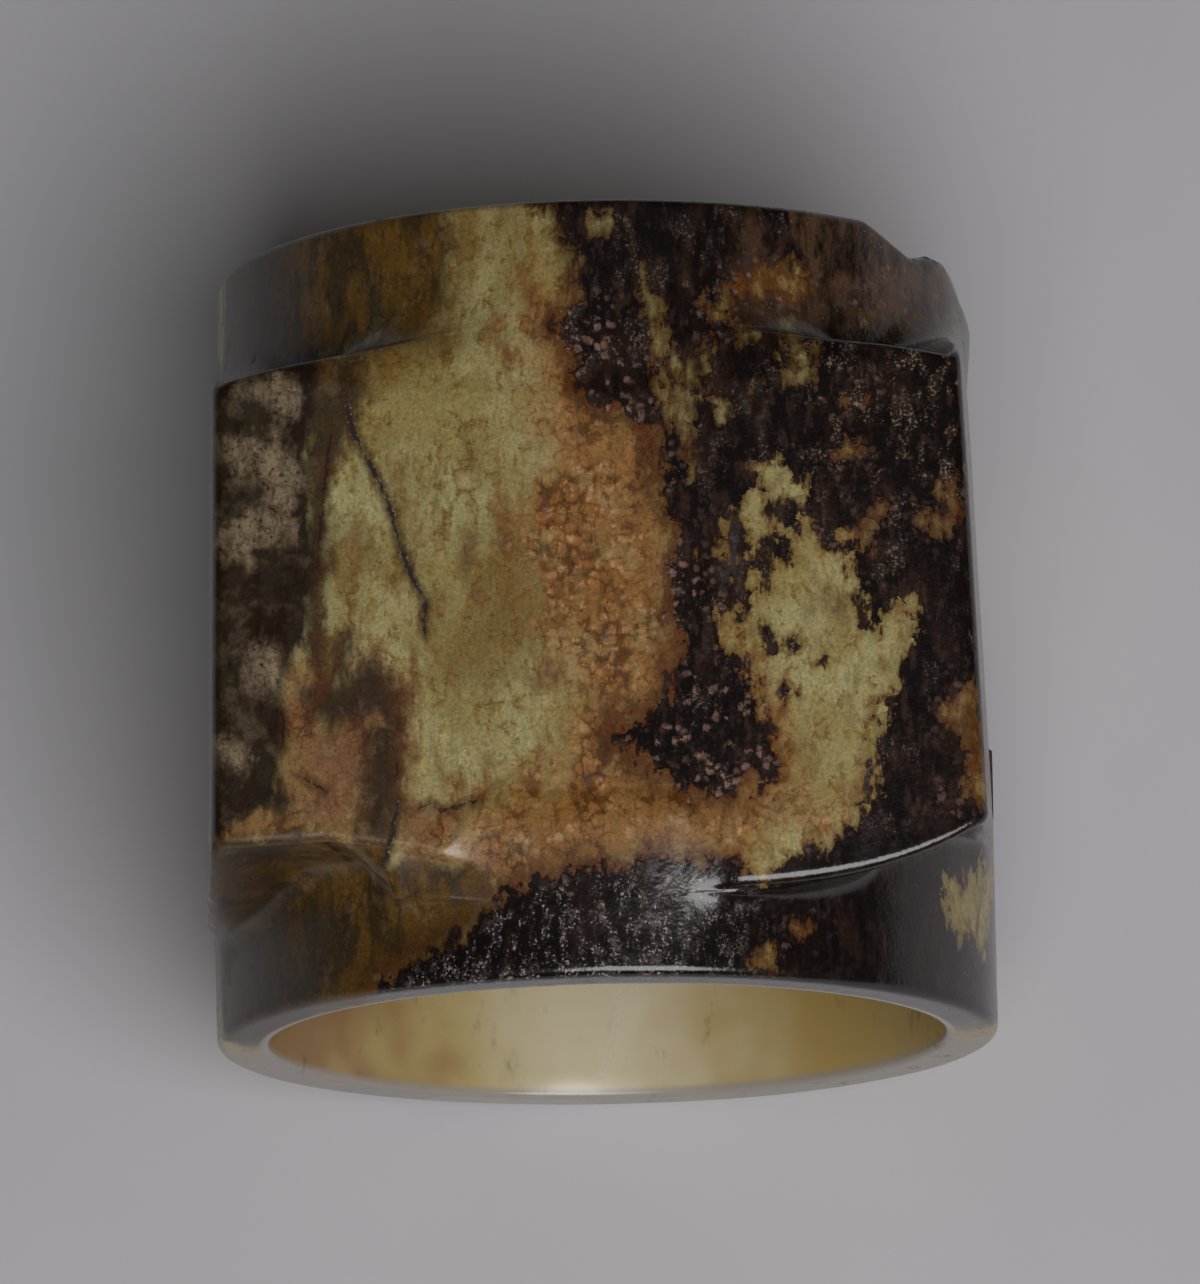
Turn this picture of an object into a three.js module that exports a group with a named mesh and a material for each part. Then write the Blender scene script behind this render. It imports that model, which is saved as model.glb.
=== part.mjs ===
// Plain jade cong: a squared tube with a round bore and a round collar at each end, lying on one face.
// Millimetres, +Z up. The bore runs along Y, and the origin is on the table under the middle of the piece.
// A turn is an angle round the bore axis: 0 is straight up, a quarter turn is +X.

import * as THREE from 'three';
import { ParametricGeometry } from 'three/addons/geometries/ParametricGeometry.js';
import { mergeVertices } from 'three/addons/utils/BufferGeometryUtils.js';

const { clamp, degToRad, lerp, radToDeg } = THREE.MathUtils;

// Whole piece
const HALF_LENGTH = 27.8;
const REST_HEIGHT = 28.2; // bore axis above the table, and the plane of the flat spot below
const QUARTER = Math.PI / 2;

// Bore: drilled from both ends, so it narrows a little towards the middle
const BORE_RADIUS = 24.2;
const BORE_WAIST = 0.45;
const BORE_EDGE_ROUND = 0.4;

// Squared body, ground by hand: four bulging faces, a little further out at the lower end (-Y).
// Half is a face's distance from the axis at mid-length, and bulge the radius of its curve.
const CORNER_SOFTNESS = 1.5;
const FACES = [
  { half: 27.75, taper: 0.02, bulge: 220 }, // upper face
  { half: 27.5, taper: 0.033, bulge: 600 }, // right face, ground flatter and closer
  { half: 28.5, taper: 0, bulge: 220 }, // face it lies on, cut back by the flat spot
  { half: 27.66, taper: 0.017, bulge: 250 }, // left face
];

// Collars, and the shoulder line that parts each from the body. Heights count from mid-length. They follow
// the four faces in their order above, and the four corners from the one between upper and right face.
// Curve is how late a shoulder line turns from a face's middle height to its corner height. A shoulder no
// wider than dull dies away in an edge as long as fade, and one as wide as crisp has crisp curves.
const UPPER_END = {
  side: 1,
  rimRadius: 27.1,
  rootRadius: 27.2,
  middleHeights: [18.9, 21.8, 19, 19],
  cornerHeights: [16.3, 16, 15.8, 15.6],
  curve: 1.8,
  dull: 0,
  crisp: 7,
  fade: 4.8,
};
const LOWER_END = {
  side: -1,
  rimRadius: 27.9,
  rootRadius: 27.92,
  middleHeights: [22, 15.5, 21.5, 21.5],
  cornerHeights: [18, 18.2, 18, 17.9],
  curve: 3.4,
  dull: 0.9,
  crisp: 1.8,
  fade: 7,
};
const RIM_EDGE_ROUND = 0.7;
const FILLET = 1.6; // hollow where a collar meets its shoulder
const SHOULDER_EDGE_ROUND = 0.8;
const FILLET_FADE = 4.8; // length of the hollow where the shoulder dies away in the middle of a face
const SHOULDER_SLOPE = 0.1; // how far a shoulder falls from its fillet, and again to its edge
const LEAST_COLLAR = 0.4; // collar wall left between a chipped rim and the fillet below it

// Chip out of the upper rim: turn in degrees and depth, with a small horn left standing in it
const RIM_CHIP = [
  [48, 0],
  [53.5, 1],
  [58.5, 1.75],
  [61.5, 1.75],
  [65, 1.15],
  [71, 1.1],
  [79, 2.9],
  [86, 3.4],
  [96, 2.8],
  [110, 0],
];

// Flaked lower edge of the upper face, left of its middle, where the shoulder breaks away in a slope: place
// across the face and height, first of the slope's outer edge and then of its root, which jumps at a crack.
const FLAKED_EDGE = [
  [-26.5, 17.9],
  [-19, 17.8],
  [-15.6, 18.3],
  [-12.5, 18.8],
  [-9, 19.8],
  [-5, 21.8],
];
const FLAKED_ROOT = [
  [-26.5, 18],
  [-19, 18.1],
  [-15.6, 20.3],
  [-15, 21.5],
  [-9, 22],
];

// Fineness of the skin
const UPPER_FACE_STEPS = 26;
const OTHER_FACE_STEPS = 14;
const CORNER_STEPS = 5;
const FACE_REACH = 25.3; // half width of the part of a face that is clear of its corners
const LEAST_TURN_GAP = degToRad(1.2);
const BODY_RINGS = 7;
const BORE_RINGS = 5;
const ROUND_STEPS = 3;
const FILLET_STEPS = 4;

// Height of a broken line, given as pairs of place and height, at one place. It is level past its ends.
function alongLine(points, place) {
  const next = points.findIndex(([start]) => start > place);
  if (next === 0) return points[0][1];
  if (next === -1) return points.at(-1)[1];
  const [[a, low], [b, high]] = [points[next - 1], points[next]];
  return lerp(low, high, (place - a) / (b - a));
}

// Smaller of two values, rounded over where they are close.
function softMin(a, b, softness) {
  const overlap = Math.max(softness - Math.abs(a - b), 0) / softness;
  return Math.min(a, b) - (overlap * overlap * softness) / 4;
}

// Number of the face that a turn points at, and the turn's angle from the middle of that face.
function faceAt(turn) {
  const face = Math.round(turn / QUARTER);
  return { face: ((face % 4) + 4) % 4, angle: turn - face * QUARTER };
}

// Distance from the axis to one bulging face, along a ray at an angle from the face's middle.
function faceDistance({ half, taper, bulge }, y, angle) {
  const back = bulge - half + taper * y;
  return Math.sqrt(bulge ** 2 - (back * Math.sin(angle)) ** 2) - back * Math.cos(angle);
}

// Radius of the squared body at a turn and a place along the bore, with soft corners and the flat spot.
function bodyRadius(turn, y) {
  const { face, angle } = faceAt(turn);
  const neighbour = (face + (angle < 0 ? 3 : 1)) % 4;
  const radius = softMin(
    faceDistance(FACES[face], y, angle),
    faceDistance(FACES[neighbour], y, QUARTER - Math.abs(angle)),
    CORNER_SOFTNESS,
  );
  const down = -Math.cos(turn);
  return down > 0 ? Math.min(radius, REST_HEIGHT / down) : radius;
}

// Height of a shoulder line, which curves from the middle of each face to its corners.
function shoulderHeight(end, turn) {
  const { face, angle } = faceAt(turn);
  const corner = end.cornerHeights[angle < 0 ? (face + 3) % 4 : face];
  return lerp(end.middleHeights[face], corner, Math.abs(Math.tan(angle)) ** end.curve);
}

// Heights of the shoulder's root and outer edge, both changed by the flake on the upper face.
function shoulderEnds(end, turn) {
  const { face, angle } = faceAt(turn);
  const height = shoulderHeight(end, turn);
  const across = FACES[0].half * Math.tan(angle);
  const flaked = end === LOWER_END && face === 0 && across < FLAKED_EDGE.at(-1)[0];
  if (!flaked) return { root: height, edge: height };
  return { root: alongLine(FLAKED_ROOT, across), edge: alongLine(FLAKED_EDGE, across) };
}

// Quarter turn of an ellipse as pairs from 0 to 1, used for every rounded edge and hollow.
function quarterRound(steps) {
  return Array.from({ length: steps + 1 }, (_, step) => {
    const angle = (QUARTER * step) / steps;
    return [Math.sin(angle), Math.cos(angle)];
  });
}

// Section of one end, from the bore's edge over the rim, down the collar and out along the shoulder.
function endSection(end, turn) {
  const chip = end === UPPER_END ? alongLine(RIM_CHIP, radToDeg(turn)) : 0;
  const rim = HALF_LENGTH - chip;
  const { root, edge } = shoulderEnds(end, turn);
  const body = bodyRadius(turn, end.side * edge);
  const shoulder = body - end.rootRadius;
  const crisp = clamp((shoulder - end.dull) / (end.crisp - end.dull), 0, 1);
  const filletOut = Math.min(FILLET, shoulder / 2);
  const edgeOut = Math.min(SHOULDER_EDGE_ROUND, shoulder / 2);
  const collarLeft = rim - RIM_EDGE_ROUND - root - SHOULDER_SLOPE;
  const filletUp = Math.min(lerp(FILLET_FADE, FILLET, crisp), collarLeft - LEAST_COLLAR);
  const edgeDown = lerp(end.fade, SHOULDER_EDGE_ROUND, crisp);

  const section = [];
  for (const [sin, cos] of quarterRound(ROUND_STEPS)) {
    section.push([BORE_RADIUS + BORE_EDGE_ROUND * (1 - cos), rim - BORE_EDGE_ROUND * (1 - sin)]);
  }
  for (const [sin, cos] of quarterRound(ROUND_STEPS)) {
    section.push([end.rimRadius - RIM_EDGE_ROUND * (1 - sin), rim - RIM_EDGE_ROUND * (1 - cos)]);
  }
  for (const [sin, cos] of quarterRound(FILLET_STEPS)) {
    section.push([end.rootRadius + filletOut * (1 - cos), root + SHOULDER_SLOPE + filletUp * (1 - sin)]);
  }
  for (const [sin, cos] of quarterRound(ROUND_STEPS)) {
    section.push([body - edgeOut * (1 - sin), edge - SHOULDER_SLOPE - edgeDown * (1 - cos)]);
  }
  return section.map(([radius, height]) => [radius, end.side * height]);
}

// Whole closed section at one turn: lower end, body, upper end, and back through the bore.
function wholeSection(turn) {
  const lower = endSection(LOWER_END, turn);
  const upper = endSection(UPPER_END, turn).reverse();
  const [low, high] = [lower.at(-1)[1], upper[0][1]];
  const body = Array.from({ length: BODY_RINGS }, (_, ring) => {
    const y = lerp(low, high, (ring + 1) / (BODY_RINGS + 1));
    return [bodyRadius(turn, y), y];
  });
  const bore = Array.from({ length: BORE_RINGS }, (_, ring) => {
    const y = lerp(upper.at(-1)[1], lower[0][1], (ring + 1) / (BORE_RINGS + 1));
    return [BORE_RADIUS - BORE_WAIST * (1 - (y / HALF_LENGTH) ** 2), y];
  });
  return [...lower, ...body, ...upper, ...bore];
}

// Turns at which the skin has points: even steps across the faces, closer ones round the corners,
// and one at each point of the chip and of the flake's root.
function skinTurns() {
  const details = [
    ...RIM_CHIP.map(([degrees]) => degToRad(degrees)),
    ...FLAKED_ROOT.slice(1).map(([across]) => Math.atan2(across, FACES[0].half)),
  ];
  const regular = [];
  const reach = Math.atan2(FACE_REACH, FACES[0].half);
  FACES.forEach((_, face) => {
    const steps = face === 0 ? UPPER_FACE_STEPS : OTHER_FACE_STEPS;
    for (let step = 0; step <= steps; step += 1) {
      const across = lerp(-FACE_REACH, FACE_REACH, step / steps);
      regular.push(face * QUARTER + Math.atan2(across, FACES[0].half));
    }
    for (let step = 1; step < CORNER_STEPS; step += 1) {
      regular.push(face * QUARTER + lerp(reach, QUARTER - reach, step / CORNER_STEPS));
    }
  });
  const clear = regular.filter((turn) => details.every((d) => Math.abs(d - turn) > LEAST_TURN_GAP));
  return [...clear, ...details].sort((a, b) => a - b);
}

// Closed skin of the piece, centred on the bore axis at mid-length.
function congGeometry() {
  const turns = skinTurns();
  const sections = turns.map(wholeSection);
  const rings = sections[0].length;
  const skin = new ParametricGeometry(
    (u, v, target) => {
      const step = Math.round(u * turns.length) % turns.length;
      const [radius, y] = sections[step][Math.round(v * rings) % rings];
      target.set(radius * Math.sin(turns[step]), y, radius * Math.cos(turns[step]));
    },
    turns.length,
    rings,
  );
  skin.deleteAttribute('normal');
  skin.deleteAttribute('uv');
  const closed = mergeVertices(skin);
  closed.computeVertexNormals();
  return closed;
}

// Polished nephrite, mottled from yellow-green to russet and brown-black; this is its middle colour
const nephrite = new THREE.MeshStandardMaterial({ color: 0x5c4a30, roughness: 0.3, metalness: 0 });

const cong = new THREE.Mesh(congGeometry(), nephrite);
cong.name = 'jade_cong';
cong.position.z = REST_HEIGHT;

const part = new THREE.Group();
part.add(cong);

export default part;
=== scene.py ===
"""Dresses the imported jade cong: a squared tube of polished, mottled nephrite lying on pale paper."""

from __future__ import annotations

import logging
import math
from dataclasses import dataclass, field, fields
from enum import Enum
from typing import Any, Sequence

import bpy
import numpy as np
from mathutils import Matrix, Vector


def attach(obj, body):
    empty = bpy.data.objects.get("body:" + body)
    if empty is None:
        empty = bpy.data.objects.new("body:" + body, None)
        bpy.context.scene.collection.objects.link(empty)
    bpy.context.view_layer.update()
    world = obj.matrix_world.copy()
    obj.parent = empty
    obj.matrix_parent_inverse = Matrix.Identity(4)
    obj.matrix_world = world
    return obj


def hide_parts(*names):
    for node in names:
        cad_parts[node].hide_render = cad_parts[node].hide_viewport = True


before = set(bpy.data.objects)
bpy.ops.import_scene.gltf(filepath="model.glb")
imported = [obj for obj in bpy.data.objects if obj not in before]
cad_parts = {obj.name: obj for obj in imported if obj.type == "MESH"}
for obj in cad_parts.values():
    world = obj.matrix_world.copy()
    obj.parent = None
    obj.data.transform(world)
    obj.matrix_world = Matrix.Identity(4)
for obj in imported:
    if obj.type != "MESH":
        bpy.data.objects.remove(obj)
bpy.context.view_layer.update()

LOG = logging.getLogger("jade_cong")
MM = 0.001
QUARTER = math.pi / 2
TINY = 1e-6
NOISE_MIDDLE = 0.5
# Numbers of the Mix node's colour sockets, whose names its other sockets share
MIX_UNDER, MIX_OVER, MIX_OUT = 6, 7, 2

Pair = tuple[float, float]
Socket = bpy.types.NodeSocket


class Face(Enum):
    """The four faces of the squared body, in order of turn about the bore."""

    UPPER = 0
    RIGHT = 1
    UNDER = 2
    LEFT = 3


class Zone(Enum):
    """Zones of the stone. The skin carries how deep inside each its points are, in millimetres."""

    DARK = "dark"
    CLEAR = "clear"
    TAN = "tan"
    BROWN = "brown"
    STAIN = "stain"
    WEATHERED = "weathered"
    BLEACHED = "bleached"
    BORE = "bore"
    BREAK = "break"


def linear(hex_colour: str) -> tuple[float, float, float, float]:
    """Turns an sRGB hex colour into a linear one.

    Args:
        hex_colour: Colour as "#rrggbb".

    Returns:
        Linear red, green and blue, and an alpha of one.
    """
    channels = [int(hex_colour[i : i + 2], 16) / 255 for i in (1, 3, 5)]
    flat = [c / 12.92 if c <= 0.04045 else ((c + 0.055) / 1.055) ** 2.4 for c in channels]
    return (*flat, 1.0)


def smooth(low: float, high: float, value: np.ndarray) -> np.ndarray:
    """Rises smoothly from 0 at low to 1 at high."""
    part = np.clip((value - low) / (high - low), 0, 1)
    return part * part * (3 - 2 * part)


def add(tree: Any, kind: str, inputs: Any = (), out: int | str = 0, **settings: Any) -> Any:
    """Adds one node to a tree, with its settings and links.

    Args:
        tree: Shader or geometry tree.
        kind: Type of the node.
        inputs: Values or sockets for its inputs, in order or by name or number.
        out: Output to give back.
        settings: Attributes of the node.

    Returns:
        Socket of that output, or the node itself where it has none.
    """
    made = tree.nodes.new(kind)
    for name, value in settings.items():
        setattr(made, name, value)
    pairs = inputs.items() if isinstance(inputs, dict) else enumerate(inputs)
    for name, value in pairs:
        if isinstance(value, Socket):
            tree.links.new(value, made.inputs[name])
        else:
            made.inputs[name].default_value = value
    return made.outputs[out] if made.outputs else made


@dataclass(frozen=True)
class PhotoView:
    """Camera of the reference view, which looks down on the lying piece from beyond its wider end."""

    width: int = 1200
    height: int = 1284
    focal: float = 12000.0
    pixels_per_mm: float = 13.9
    centre: Pair = (599.9, 661.7)
    tilt: float = math.radians(11.47)
    turn: float = math.radians(-1.6)
    roll: float = math.radians(1.17)
    sensor_mm: float = 36.0

    def axes(self) -> np.ndarray:
        """Gives the view's axes, counted from the middle of the bore.

        Returns:
            Three rows: right, up and towards the camera.
        """
        side = np.array([math.cos(self.turn), 0, math.sin(self.turn)])
        rise = np.array([-math.sin(self.turn), 0, math.cos(self.turn)])
        along = np.array([0, 1, 0])
        up = along * math.cos(self.tilt) + rise * math.sin(self.tilt)
        back = rise * math.cos(self.tilt) - along * math.sin(self.tilt)
        cos, sin = math.cos(self.roll), math.sin(self.roll)
        return np.array([cos * side - sin * up, sin * side + cos * up, back])

    def middle(self) -> np.ndarray:
        """Gives the middle of the picture."""
        return np.array([self.width, self.height]) / 2

    def eye(self) -> np.ndarray:
        """Finds the camera.

        Returns:
            Its place in millimetres from the middle of the bore.
        """
        right, up, back = self.axes()
        across, down = (np.array(self.centre) - self.middle()) / self.pixels_per_mm
        return back * self.focal / self.pixels_per_mm - across * right + down * up

    def pixels(self, points: np.ndarray) -> np.ndarray:
        """Projects points into the picture.

        Args:
            points: Rows of x, y, z in millimetres from the middle of the bore.

        Returns:
            Rows of pixel x and y.
        """
        across, up, near = ((points - self.eye()) @ self.axes().T).T
        return self.middle() + np.stack([across, -up], axis=1) * self.focal / -near[:, None]

    def at_height(self, pixels: np.ndarray, height: np.ndarray) -> np.ndarray:
        """Finds the points that pixels show, given how high they lie.

        Args:
            pixels: Rows of pixel x and y.
            height: Heights above the bore axis in millimetres.

        Returns:
            Rows of x, y, z in millimetres from the middle of the bore.
        """
        across, down = ((pixels - self.middle()) / self.focal).T[:, :, None]
        right, up, back = self.axes()
        ray = across * right - down * up - back
        return self.eye() + ray * ((height - self.eye()[2]) / ray[:, 2])[:, None]

    def build(self, axis_height: float) -> bpy.types.Object:
        """Makes the camera and gives it to the scene.

        Args:
            axis_height: Height of the bore axis above the table, in millimetres.

        Returns:
            The camera object.
        """
        data = bpy.data.cameras.new("reference_view")
        data.sensor_width = self.sensor_mm
        data.lens = self.focal * self.sensor_mm / max(self.width, self.height)
        camera = bpy.data.objects.new("reference_view", data)
        bpy.context.scene.collection.objects.link(camera)
        place = np.eye(4)
        place[:3, :3] = self.axes().T
        place[:3, 3] = (self.eye() + [0, 0, axis_height]) * MM
        camera.matrix_world = Matrix(place.tolist())
        bpy.context.scene.camera = camera
        return camera


@dataclass(frozen=True)
class FaceCut:
    """One ground face: its distance from the axis at mid-length, its taper and the radius of its bulge."""

    half: float
    taper: float
    bulge: float


@dataclass(frozen=True)
class CollarEnd:
    """One end: its collar's radii, and shoulder heights at the middles of the faces and at the corners.

    Curve is how late the shoulder line turns from a face's middle height to its corner height. A shoulder
    no wider than dull dies away in an edge as long as fade, and one as wide as crisp has crisp curves.
    """

    side: int
    rim_radius: float
    root_radius: float
    middle_heights: tuple[float, float, float, float]
    corner_heights: tuple[float, float, float, float]
    curve: float
    dull: float
    crisp: float
    fade: float


@dataclass(frozen=True)
class CongForm:
    """The cong's skin as columns of points round the bore, in millimetres from the middle of the bore.

    A turn is an angle round the bore axis: 0 is straight up and a quarter turn is +X.
    """

    half_length: float = 27.8
    rest_height: float = 28.2
    bore_radius: float = 24.2
    bore_waist: float = 0.45
    bore_edge: float = 0.4
    bore_margin: float = 0.05
    pale_rim_top: float = 6.0
    pale_rim_full: float = -8.0
    corner_softness: float = 1.5
    faces: tuple[FaceCut, ...] = (
        FaceCut(half=27.75, taper=0.02, bulge=220),
        FaceCut(half=27.5, taper=0.033, bulge=600),
        FaceCut(half=28.5, taper=0, bulge=220),
        FaceCut(half=27.66, taper=0.017, bulge=250),
    )
    upper: CollarEnd = CollarEnd(
        side=1,
        rim_radius=27.1,
        root_radius=27.2,
        middle_heights=(18.9, 21.8, 19, 19),
        corner_heights=(16.3, 16, 15.8, 15.6),
        curve=1.8,
        dull=0,
        crisp=7,
        fade=4.8,
    )
    lower: CollarEnd = CollarEnd(
        side=-1,
        rim_radius=27.9,
        root_radius=27.92,
        middle_heights=(22, 15.5, 21.5, 21.5),
        corner_heights=(18, 18.2, 18, 17.9),
        curve=3.4,
        dull=0.9,
        crisp=1.8,
        fade=7,
    )
    rim_edge: float = 0.7
    fillet: float = 1.6
    shoulder_edge: float = 0.8
    fillet_fade: float = 4.8
    shoulder_slope: float = 0.1
    least_collar: float = 0.4
    # Chip in the upper rim: turn in degrees and depth
    rim_chip: tuple[Pair, ...] = (
        (48, 0), (53.5, 1), (58.5, 1.75), (61.5, 1.75), (65, 1.15),
        (71, 1.1), (79, 2.9), (86, 3.4), (96, 2.8), (110, 0),
    )
    # Flaked lower edge of the upper face: place across the face, and heights of the slope's edge and root
    flaked_edge: tuple[Pair, ...] = (
        (-26.5, 17.9), (-19, 17.8), (-15.6, 18.3), (-12.5, 18.8), (-9, 19.8), (-5, 21.8),
    )
    flaked_root: tuple[Pair, ...] = ((-26.5, 18), (-19, 18.1), (-15.6, 20.3), (-15, 21.5), (-9, 22))
    face_reach: float = 25.3
    upper_face_columns: int = 200
    other_face_columns: int = 36
    corner_columns: int = 8
    body_rings: int = 130
    bore_rings: int = 30
    bore_edge_rings: int = 3
    rim_rings: int = 5
    rim_edge_rings: int = 5
    collar_rings: int = 14
    fillet_rings: int = 7
    shoulder_rings: int = 8

    def turns(self) -> np.ndarray:
        """Spaces the columns, close together on the upper face and round the corners.

        Returns:
            Turn of each column.
        """
        columns = []
        reach = math.atan2(self.face_reach, self.faces[0].half)
        for face in Face:
            count = self.upper_face_columns if face is Face.UPPER else self.other_face_columns
            across = np.linspace(-self.face_reach, self.face_reach, count + 1)
            columns.append(face.value * QUARTER + np.arctan2(across, self.faces[0].half))
            corner = np.linspace(reach, QUARTER - reach, self.corner_columns + 1)[1:-1]
            columns.append(face.value * QUARTER + corner)
        return np.concatenate(columns)

    def face_at(self, turn: np.ndarray) -> tuple[np.ndarray, np.ndarray]:
        """Gives the number of the face that a turn points at, and the angle from that face's middle."""
        face = np.rint(turn / QUARTER).astype(int)
        return face % 4, turn - face * QUARTER

    def face_distance(self, face: np.ndarray, y: np.ndarray, angle: np.ndarray) -> np.ndarray:
        """Measures from the axis to a bulging face.

        Args:
            face: Numbers of the faces.
            y: Places along the bore.
            angle: Angles of the rays from the faces' middles.

        Returns:
            Distances along the rays.
        """
        cuts = np.array([(cut.half, cut.taper, cut.bulge) for cut in self.faces])[face]
        half, taper, bulge = np.moveaxis(cuts, -1, 0)
        back = bulge - half + taper * y
        return np.sqrt(bulge**2 - (back * np.sin(angle)) ** 2) - back * np.cos(angle)

    def body_radius(self, turn: np.ndarray, y: np.ndarray) -> np.ndarray:
        """Gives the radius of the squared body, with its soft corners and the flat spot it lies on.

        Args:
            turn: Turns.
            y: Places along the bore.

        Returns:
            Distances from the bore axis.
        """
        face, angle = self.face_at(turn)
        neighbour = (face + np.where(angle < 0, 3, 1)) % 4
        near = self.face_distance(face, y, angle)
        far = self.face_distance(neighbour, y, QUARTER - np.abs(angle))
        overlap = np.maximum(self.corner_softness - np.abs(near - far), 0) / self.corner_softness
        radius = np.minimum(near, far) - overlap**2 * self.corner_softness / 4
        down = np.maximum(-np.cos(turn), TINY)
        return np.minimum(radius, self.rest_height / down)

    def shoulder_height(self, end: CollarEnd, turn: np.ndarray) -> np.ndarray:
        """Gives the height of a shoulder line, which curves from the middle of a face to its corners.

        Args:
            end: The end.
            turn: Turns.

        Returns:
            Heights from mid-length.
        """
        face, angle = self.face_at(turn)
        corner = np.array(end.corner_heights)[np.where(angle < 0, (face + 3) % 4, face)]
        middle = np.array(end.middle_heights)[face]
        return middle + (corner - middle) * np.abs(np.tan(angle)) ** end.curve

    def shoulder_ends(self, end: CollarEnd, turn: np.ndarray) -> tuple[np.ndarray, np.ndarray]:
        """Gives the heights of a shoulder's root and outer edge. The flake on the upper face changes both.

        Args:
            end: The end.
            turn: Turns.

        Returns:
            Heights from mid-length of the root and of the edge.
        """
        height = self.shoulder_height(end, turn)
        if end is self.upper:
            return height, height
        face, angle = self.face_at(turn)
        across = self.faces[0].half * np.tan(angle)
        flaked = (face == Face.UPPER.value) & (across < self.flaked_edge[-1][0])
        root, edge = (np.interp(across, *np.array(line).T) for line in (self.flaked_root, self.flaked_edge))
        return np.where(flaked, root, height), np.where(flaked, edge, height)

    def chip_depth(self, turn: np.ndarray) -> np.ndarray:
        """Gives the depth of the chip in the upper rim."""
        places, depths = np.array(self.rim_chip).T
        return np.interp(np.degrees(turn), places, depths)

    def bend(self, steps: int) -> np.ndarray:
        """Gives a quarter turn in steps, as a row of sines and one of cosines."""
        angle = np.linspace(0, QUARTER, steps + 1)
        return np.array([np.sin(angle), np.cos(angle)])[:, None, :]

    def between(self, start: np.ndarray, stop: np.ndarray, count: int) -> np.ndarray:
        """Gives points between the end of one stretch of the section and the start of the next.

        Args:
            start: Stretch before, as column, step and radius-y.
            stop: Stretch after.
            count: Number of points.

        Returns:
            The stretch between them.
        """
        part = np.linspace(0, 1, count + 2)[None, 1:-1, None]
        return start[:, -1:] * (1 - part) + stop[:, :1] * part

    def end_section(self, end: CollarEnd, turn: np.ndarray) -> np.ndarray:
        """Gives the section of one end, from the bore's edge over the rim to the shoulder's edge.

        Args:
            end: The end.
            turn: Column of turns.

        Returns:
            Points as column, step and radius-y.
        """
        chip = self.chip_depth(turn) if end is self.upper else np.zeros_like(turn)
        rim = self.half_length - chip
        root, edge = self.shoulder_ends(end, turn)
        body = self.body_radius(turn, end.side * edge)
        shoulder = body - end.root_radius
        crisp = np.clip((shoulder - end.dull) / (end.crisp - end.dull), 0, 1)
        fillet_out = np.minimum(self.fillet, shoulder / 2)
        edge_out = np.minimum(self.shoulder_edge, shoulder / 2)
        collar_left = rim - self.rim_edge - root - self.shoulder_slope
        fillet_up = self.fillet_fade + (self.fillet - self.fillet_fade) * crisp
        fillet_up = np.minimum(fillet_up, collar_left - self.least_collar)
        edge_down = end.fade + (self.shoulder_edge - end.fade) * crisp

        sin, cos = self.bend(self.bore_edge_rings)
        bore_radii = self.bore_radius + self.bore_edge * (1 - cos)
        bore_edge = np.stack(np.broadcast_arrays(bore_radii, rim - self.bore_edge * (1 - sin)), axis=2)
        sin, cos = self.bend(self.rim_edge_rings)
        rim_radii = end.rim_radius - self.rim_edge * (1 - sin)
        rim_edge = np.stack(np.broadcast_arrays(rim_radii, rim - self.rim_edge * (1 - cos)), axis=2)
        edge_heights = edge - self.shoulder_slope - edge_down * (1 - cos)
        shoulder_edge = np.stack([body - edge_out * (1 - sin), edge_heights], axis=2)
        sin, cos = self.bend(self.fillet_rings)
        fillet_heights = root + self.shoulder_slope + fillet_up * (1 - sin)
        fillet = np.stack([end.root_radius + fillet_out * (1 - cos), fillet_heights], axis=2)
        slope = self.between(fillet, shoulder_edge, self.shoulder_rings)
        step = np.concatenate([fillet, slope, shoulder_edge], axis=1)
        fall = (step[:, :1, 1] - step[..., 1]) / (step[:, :1, 1] - step[:, -1:, 1])
        worn = end.root_radius + shoulder * smooth(0, 1, fall)
        step[..., 0] = worn + (step[..., 0] - worn) * crisp
        stretches = [
            bore_edge,
            self.between(bore_edge, rim_edge, self.rim_rings),
            rim_edge,
            self.between(rim_edge, step, self.collar_rings),
            step,
        ]
        return np.concatenate(stretches, axis=1) * [1, end.side]

    def grid(self) -> np.ndarray:
        """Works out the whole skin.

        Returns:
            Points as column, ring and x-y-z.
        """
        turn = self.turns()[:, None]
        lower = self.end_section(self.lower, turn)
        upper = self.end_section(self.upper, turn)[:, ::-1]
        body = self.between(lower, upper, self.body_rings)
        body[..., 0] = self.body_radius(turn, body[..., 1])
        bore = self.between(upper, lower, self.bore_rings)
        bore[..., 0] = self.bore_radius - self.bore_waist * (1 - (bore[..., 1] / self.half_length) ** 2)
        section = np.concatenate([lower, body, upper, bore], axis=1)
        radius, y = section[..., 0], section[..., 1]
        return np.stack([radius * np.sin(turn), y, radius * np.cos(turn)], axis=2)

    def bore_share(self, points: np.ndarray) -> np.ndarray:
        """Tells how far points share the bore's pale stone, which also shows on the lower rim's near side.

        Args:
            points: Rows of x, y, z in millimetres from the middle of the bore.

        Returns:
            Shares from 0 to 1.
        """
        x, y, z = points.T
        inner = np.hypot(x, z) < self.bore_radius + self.bore_edge + self.bore_margin
        rim = (y < self.rim_edge - self.half_length) * smooth(-self.pale_rim_top, -self.pale_rim_full, -z)
        return np.maximum(inner, rim)

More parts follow.
